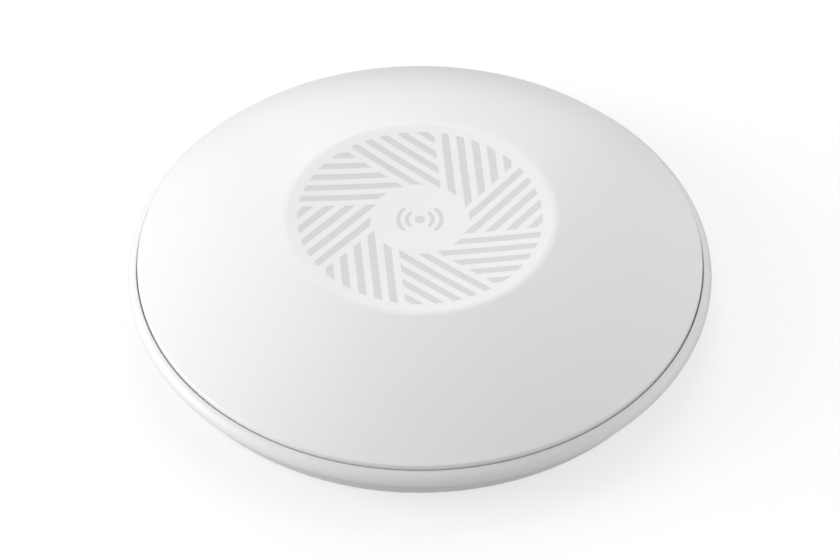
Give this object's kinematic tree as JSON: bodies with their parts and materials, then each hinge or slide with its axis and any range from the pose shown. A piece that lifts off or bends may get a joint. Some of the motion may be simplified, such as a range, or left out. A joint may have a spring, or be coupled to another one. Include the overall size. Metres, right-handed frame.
{
  "type": "ceiling wireless access point",
  "caption": "Round domed ceiling access point with a striped dish in its face, a rolled rim, a rear port bay and a bracket it twists onto.",
  "frame": {"origin": "centre of the bracket's back face, on the ceiling plane", "axes": "+Z out of the ceiling through the domed face; +Y the way a network plug is pushed into the port; +X to the right of that"},
  "size_m": [0.2, 0.2, 0.0377],
  "materials": {
    "cover_plastic": "fine satin moulded",
    "base_plastic": "fine satin moulded",
    "print_grey": "matt print",
    "bracket_steel": "zinc plated sheet",
    "stud_steel": "turned, zinc plated",
    "screw_steel": "zinc plated",
    "board_laminate": "solder mask",
    "spreader_aluminium": "rolled sheet",
    "thermal_pad": "soft matt",
    "shield_tin": "tin plated sheet",
    "chip_epoxy": "moulded epoxy",
    "port_plastic": "moulded",
    "contact_gold": "gold plated",
    "ferrite": "sintered",
    "capacitor_can": "drawn can",
    "antenna_metal": "tin plated sheet",
    "led_body": "moulded",
    "clear_plastic": "clear moulded",
    "button_plastic": "moulded",
    "label_film": "matt film"
  },
  "bodies": {
    "bracket": {"mounting_bracket": "bracket_steel"},
    "housing": {"base_housing": "base_plastic", "front_cover": "cover_plastic", "face_pattern": "print_grey", "centre_mark": "print_grey", "lock_studs": "stud_steel", "cover_screws": "screw_steel", "board_screws": "screw_steel", "spreader_screws": "screw_steel", "main_board": "board_laminate", "heat_spreader": "spreader_aluminium", "thermal_pads": "thermal_pad", "processor_shield": "shield_tin", "radio_shields": "shield_tin", "processor_chip": "chip_epoxy", "memory_chip": "chip_epoxy", "radio_chips": "chip_epoxy", "port_shell": "shield_tin", "port_insulator": "port_plastic", "port_contacts": "contact_gold", "network_transformer": "chip_epoxy", "power_transformer": "ferrite", "power_capacitors": "capacitor_can", "power_inductors": "ferrite", "low_band_antennas": "antenna_metal", "high_band_antennas": "antenna_metal", "status_led": "led_body", "light_pipe": "clear_plastic", "reset_switch": "port_plastic", "rear_label": "label_film"},
    "reset_button": {"reset_button": "button_plastic"}
  },
  "joints": [
    {"name": "twist_lock", "type": "hinge", "parent": "bracket", "child": "housing", "pos_m": [0, 0, 0], "axis": [0, 0, 1], "range_deg": [0, 15]},
    {"name": "reset_press", "type": "slide", "parent": "housing", "child": "reset_button", "axis": [0, 1, 0], "range_m": [0, 0.00025], "stiffness_N_per_m": 4000, "springref_m": -0.0001}
  ]
}
